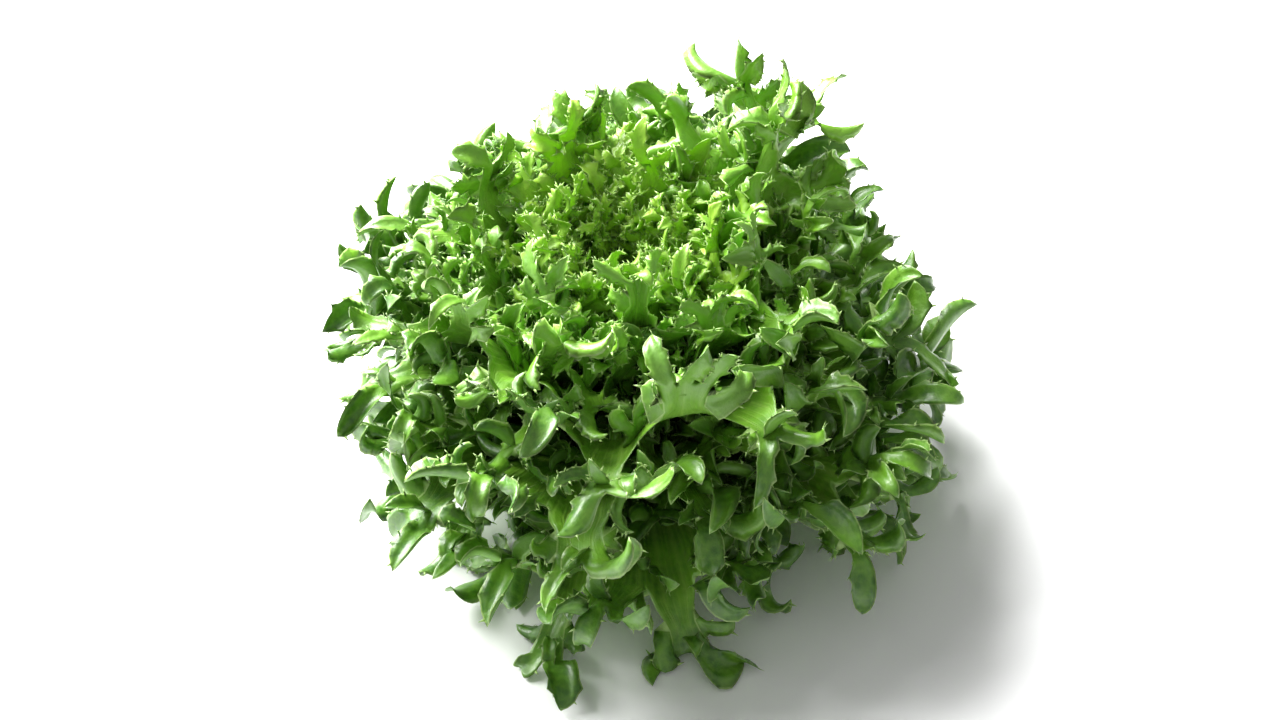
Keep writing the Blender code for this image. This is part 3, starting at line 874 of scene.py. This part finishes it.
def leafMaterial(name, deep, light, glowShare):
    made, n = newMaterial(name)
    place = n.make("ShaderNodeTexCoord").outputs["Object"]
    vein, pitch, edge, tone, rib, under, veined = (
        n.mark(m) for m in ("vein", "pitch", "edge", "tone", "rib", "under", "veined")
    )
    patches = n.noise(place, leafLook["patchScale"], 2.0, 0.6)
    grain = n.noise(place, leafLook["grainScale"], 2.0, 0.65)
    cells = n.out("ShaderNodeTexVoronoi", {"Vector": place, "Scale": 1 / leafLook["blisterSize"]},
                  feature="F1")

    # Lines along the blade, count of them for each tip
    def lines(count, width):
        off = n.maths("SUBTRACT", n.maths("FRACT", n.times(vein, count)), 0.5)
        off = n.times(n.maths("ABSOLUTE", off), pitch)
        return n.times(n.between(off, *width, 1.0, 0.0), veined)

    # A vein runs up the blade to each tip, with fine ones beside it
    veins = lines(1.0, leafLook["veinWidth"])
    stripes = lines(4.0, leafLook["stripeWidth"])

    lightness = n.plus(n.times(tone, 0.20), n.between(patches, 0.3, 0.7, 0.15, 0.80))
    fromHeart = n.make("ShaderNodeVectorMath", {0: place, 1: leafLook["heartPlace"]}, operation="DISTANCE")
    near = n.between(fromHeart.outputs["Value"], *leafLook["heartReach"], leafLook["heartShare"], 0.0)
    colour = n.tint(n.plus(lightness, near), deep, light)
    for name, pattern, tint in (
        ("grain", n.between(grain, 0.35, 0.7), light),
        ("blisters", n.between(cells, 0.2, 0.7), leafLook["veinTint"]),
        ("stripes", stripes, leafLook["veinTint"]),
        ("under", under, leafLook["underTint"]),
        ("veins", veins, leafLook["veinTint"]),
        ("rib", rib, leafLook["ribTint"]),
        # A pale line along every rim: partly the leaf's paler margin, partly a painted highlight where light
        # catches the edge
        ("rim", n.between(edge, *leafLook["rimPaleAndHighlightWidth"], 1.0, 0.0), leafLook["rimPaleAndHighlightTint"]),
    ):
        colour = n.tint(n.times(pattern, leafLook["shows"][name]), colour, tint)

    heights = leafLook["heights"]
    relief = n.times(cells, heights["blisters"])
    for name, pattern in (("veins", veins), ("stripes", stripes), ("grain", grain), ("patches", patches)):
        relief = n.plus(relief, n.times(pattern, heights[name]))
    strength, depth = leafLook["relief"]
    bump = n.out("ShaderNodeBump", {"Height": relief, "Strength": strength, "Distance": depth})

    rough = n.plus(n.between(grain, 0.3, 0.7, -0.05, 0.08), n.times(under, 0.10))
    rough = n.plus(rough, leafLook["roughness"])
    skin = n.out("ShaderNodeBsdfPrincipled", {
        "Base Color": colour, "Roughness": rough, "Normal": bump, "Specular IOR Level": 0.5,
        "Coat Weight": leafLook["coat"], "Coat Roughness": leafLook["coatRoughness"],
    })
    glowTint = n.tint(0.55, colour, leafLook["glow"])
    glow = n.out("ShaderNodeBsdfTranslucent", {"Color": glowTint, "Normal": bump})
    mixed = n.out("ShaderNodeMixShader", {0: glowShare, 1: skin, 2: glow})
    n.make("ShaderNodeOutputMaterial", {"Surface": mixed})
    return made


heartGlow, outerGlow = leafLook["glowShare"]
heartSkin = leafMaterial("heartSkin", leafLook["heartDeep"], leafLook["heartLight"], heartGlow)
outerSkin = leafMaterial("outerSkin", leafLook["outerDeep"], leafLook["outerLight"], outerGlow)
print("leaf materials ready")

# Small teeth that stand along the rims
toothForm = {
    "Tooth Length": 0.0030, "Tooth Width": 0.0014, "Tooth Thickness": 0.30, "Lean": 0.55, "Seed": 7,
}


def toothTree(material):
    tree = bpy.data.node_groups.new("marginTeeth", "GeometryNodeTree")
    face = tree.interface
    face.new_socket("Geometry", in_out="INPUT", socket_type="NodeSocketGeometry")
    for name in ("Tooth Length", "Tooth Width", "Tooth Thickness", "Lean"):
        face.new_socket(name, in_out="INPUT", socket_type="NodeSocketFloat")
    face.new_socket("Seed", in_out="INPUT", socket_type="NodeSocketInt")
    face.new_socket("Geometry", in_out="OUTPUT", socket_type="NodeSocketGeometry")
    n = Nodes(tree)
    given = n.make("NodeGroupInput").outputs

    def named(name, kind):
        return n.make("GeometryNodeInputNamedAttribute", {"Name": name}, data_type=kind).outputs["Attribute"]

    size, aim, lie = named("tooth", "FLOAT"), named("aim", "FLOAT_VECTOR"), named("lie", "FLOAT_VECTOR")
    chosen = n.out("FunctionNodeCompare", {"A": size, "B": 0.01}, data_type="FLOAT",
                   operation="GREATER_THAN")
    cone = n.out("GeometryNodeMeshCone", {
        "Vertices": 5, "Radius Top": 0.0, "Radius Bottom": 0.5, "Depth": 1.0})
    sunk = n.out("GeometryNodeTransform", {"Geometry": cone, "Translation": (0, 0, -0.15)})
    smooth = n.out("GeometryNodeSetShadeSmooth", {"Geometry": sunk})
    turned = n.out("FunctionNodeAlignRotationToVector", {"Vector": aim}, axis="Z")
    turned = n.out(
        "FunctionNodeAlignRotationToVector", {"Rotation": turned, "Vector": lie}, axis="Y", pivot_axis="Z"
    )
    leanBack = n.times(given["Lean"], -1.0)
    low = n.out("ShaderNodeCombineXYZ", {"X": leanBack, "Y": leanBack})
    high = n.out("ShaderNodeCombineXYZ", {"X": given["Lean"], "Y": given["Lean"]})
    wobble = n.make("FunctionNodeRandomValue", {"Seed": given["Seed"]}, data_type="FLOAT_VECTOR")
    tree.links.new(low, wobble.inputs[0])
    tree.links.new(high, wobble.inputs[1])
    leanTurn = n.out("FunctionNodeEulerToRotation", {0: wobble.outputs[0]})
    turned = n.out("FunctionNodeRotateRotation", {"Rotation": turned, "Rotate By": leanTurn},
                   rotation_space="LOCAL")
    long = n.times(size, given["Tooth Length"])
    wide = n.times(size, given["Tooth Width"])
    thin = n.times(wide, given["Tooth Thickness"])
    scale = n.out("ShaderNodeCombineXYZ", {"X": wide, "Y": thin, "Z": long})
    teeth = n.out("GeometryNodeInstanceOnPoints", {
        "Points": given["Geometry"], "Selection": chosen, "Instance": smooth, "Rotation": turned,
        "Scale": scale})
    joined = n.make("GeometryNodeJoinGeometry")
    tree.links.new(teeth, joined.inputs[0])
    tree.links.new(given["Geometry"], joined.inputs[0])
    real = n.out("GeometryNodeRealizeInstances", {"Geometry": joined.outputs[0]})
    done = n.out("GeometryNodeSetMaterial", {"Geometry": real, "Material": material})
    n.make("NodeGroupOutput", {"Geometry": done})
    return tree


# Grows the small teeth on a leaf and leaves it a plain mesh
def withTeeth(leaf, tree):
    added = leaf.modifiers.new("teeth", "NODES")
    added.node_group = tree
    for item in tree.interface.items_tree:
        if item.in_out == "INPUT" and item.name in toothForm:
            added[item.identifier] = toothForm[item.name]
    bpy.context.view_layer.update()
    graph = bpy.context.evaluated_depsgraph_get()
    plain = bpy.data.meshes.new_from_object(leaf.evaluated_get(graph))
    leaf.modifiers.remove(added)
    old = leaf.data
    leaf.data = plain
    name = old.name
    bpy.data.meshes.remove(old)
    plain.name = name
    return leaf


trees = {"heart_leaf": (heartSkin, toothTree(heartSkin)), "outer_leaf": (outerSkin, toothTree(outerSkin))}
triangles = 0
for number in range(headForm["leafCount"]):
    slotName = "heart_leaf" if number < headForm["leafCount"] // 3 else "outer_leaf"
    skin, tree = trees[slotName]
    leaf = withTeeth(makeLeaf(number, skin), tree)
    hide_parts(f"leaf_{number + 1:02d}")
    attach(leaf, "root")
    triangles += sum(len(p.vertices) - 2 for p in leaf.data.polygons)
print("leaves grown,", triangles, "triangles")

# The look of the stem
stemLook = {
    "flesh": (0.560, 0.640, 0.340),
    "shade": (0.300, 0.420, 0.130),
    "cut": (0.520, 0.400, 0.220),
    "cutHeight": 0.006,
    "fibreScale": 900.0,
    "blotchScale": 120.0,
    "roughness": 0.5,
    "relief": (0.5, 0.0005),
}


def stemMaterial():
    made, n = newMaterial("stemFlesh")
    place = n.make("ShaderNodeTexCoord").outputs["Object"]
    long = n.out("ShaderNodeMapping", {"Vector": place, "Scale": (1.0, 1.0, 0.12)})
    fibres = n.noise(long, stemLook["fibreScale"], 3.0, 0.6)
    blotches = n.noise(place, stemLook["blotchScale"], 3.0)
    height = n.make("ShaderNodeSeparateXYZ", {"Vector": place}).outputs["Z"]
    colour = n.tint(n.between(blotches, 0.3, 0.7), stemLook["flesh"], stemLook["shade"])
    colour = n.tint(n.times(n.between(fibres, 0.4, 0.7), 0.5), colour, stemLook["flesh"])
    colour = n.tint(n.between(height, 0.0, stemLook["cutHeight"], 0.8, 0.0), colour, stemLook["cut"])
    strength, depth = stemLook["relief"]
    bump = n.out("ShaderNodeBump", {"Height": fibres, "Strength": strength, "Distance": depth})
    skin = n.out("ShaderNodeBsdfPrincipled", {
        "Base Color": colour, "Roughness": stemLook["roughness"], "Normal": bump})
    n.make("ShaderNodeOutputMaterial", {"Surface": skin})
    return made


def makeStem():
    rows, sides = stemForm["rows"], stemForm["sides"]
    top, bottom = stemForm["topRadius"], stemForm["radius"]
    knots = [(bottom * 0.90, 0.0)]
    for i in range(7):
        openness = 1 - i / 6
        _, height = meridianPoint(np.float64(0), np.float64(openness))
        knots.append(((top + (bottom - top) * math.sqrt(openness)) * 0.95, float(height)))
    for share in (0.15, 0.45, 0.8, 1.0):
        radius = stemForm["budRadius"] * math.sin(math.pi * (0.25 + 0.7 * share))
        knots.append((radius if share < 1 else 0.0, stemForm["height"] + stemForm["budHeight"] * share))
    knots = np.array(knots)
    heights = np.linspace(0, knots[-1, 1], rows)
    radii = np.interp(heights, knots[:, 1], knots[:, 0])
    angles = np.arange(sides) * 2 * math.pi / sides
    turns = angles / math.radians(headForm["turnPerLeaf"]) * 0.5
    grooves = stemForm["grooveDepth"] * np.sin(turns * 40) ** 2
    points = []
    for radius, height in zip(radii, heights):
        rings = height / stemForm["scarSpacing"] + angles / (2 * math.pi)
        scar = np.abs(np.sin(math.pi * rings + 0.4 * np.sin(3 * angles)))
        depth = stemForm["scarDepth"] * min(radius / bottom, 1) * (1 - scar**0.5)
        own = radius - depth * (0 if height == 0 else 1) - grooves
        points.append(np.stack([own * np.cos(angles), own * np.sin(angles), np.full(sides, height)], 1))
    points = np.concatenate(points + [np.array([[0.0, 0.0, 0.0]])])
    x, y, z = leaned(points[:, 0], points[:, 1], points[:, 2])
    faces = []
    j = np.arange(sides)
    k = (j + 1) % sides
    for i in range(rows - 1):
        a, b, c, d = i * sides + j, i * sides + k, (i + 1) * sides + k, (i + 1) * sides + j
        faces += [np.stack([a, b, c], 1), np.stack([a, c, d], 1)]
    faces.append(np.stack([k, j, np.full(sides, rows * sides)], 1))
    mesh = meshFrom("fineStem", np.stack([x, y, z], 1), np.concatenate(faces))
    mesh.materials.append(stemMaterial())
    return placed("fineStem", mesh)


stem = makeStem()
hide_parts("stem")
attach(stem, "root")
print("stem made")

# The camera, the light and the floor
viewForm = {
    "elevation": 43.0,
    "distance": 0.80,
    "lens": 57.0,
    "target": (-0.0036, -0.0006, 0.042),
    "keyPlace": (-1.40, 1.42, 1.66),
    "keySize": 2.3,
    "keyPower": 360.0,
    "fillPlace": (0.2, -1.1, 0.9),
    "fillSize": 1.6,
    "fillPower": 0.2,
    "worldLight": 0.38,
    "floor": (1.0, 1.0, 1.0),
}


def aimed(thing, place, target):
    thing.location = place
    thing.rotation_euler = (Vector(target) - Vector(place)).to_track_quat("-Z", "Y").to_euler()


def areaLight(name, place, size, power):
    made = bpy.data.lights.new(name, "AREA")
    made.shape = "DISK"
    made.size = size
    made.energy = power
    aimed(placed(name, made), place, (0, 0, 0.06))


scene = bpy.context.scene
lens = bpy.data.cameras.new("photoCamera")
lens.lens = viewForm["lens"]
lens.clip_start, lens.clip_end = 0.05, 20
camera = placed("photoCamera", lens)
elevation = math.radians(viewForm["elevation"])
ahead = Vector((0, math.cos(elevation), -math.sin(elevation)))
aimed(camera, Vector(viewForm["target"]) - ahead * viewForm["distance"], viewForm["target"])
scene.camera = camera

areaLight("keyLight", viewForm["keyPlace"], viewForm["keySize"], viewForm["keyPower"])
areaLight("fillLight", viewForm["fillPlace"], viewForm["fillSize"], viewForm["fillPower"])
world = bpy.data.worlds.new("studio")
world.use_nodes = True
background = world.node_tree.nodes["Background"].inputs
background["Color"].default_value = (1, 1, 1, 1)
background["Strength"].default_value = viewForm["worldLight"]
scene.world = world
scene.view_settings.view_transform = "Standard"

floorMesh = bpy.data.meshes.new("floor")
floorMesh.from_pydata([(-4, -4, 0), (4, -4, 0), (4, 4, 0), (-4, 4, 0)], [], [(0, 1, 2, 3)])
floor = placed("floor", floorMesh)
floorSkin, n = newMaterial("floorSkin")
floorShine = n.make("ShaderNodeBsdfPrincipled", {"Base Color": (*viewForm["floor"], 1), "Roughness": 0.6})
n.make("ShaderNodeOutputMaterial", {"Surface": floorShine.outputs[0]})
floorMesh.materials.append(floorSkin)

print("scene ready")
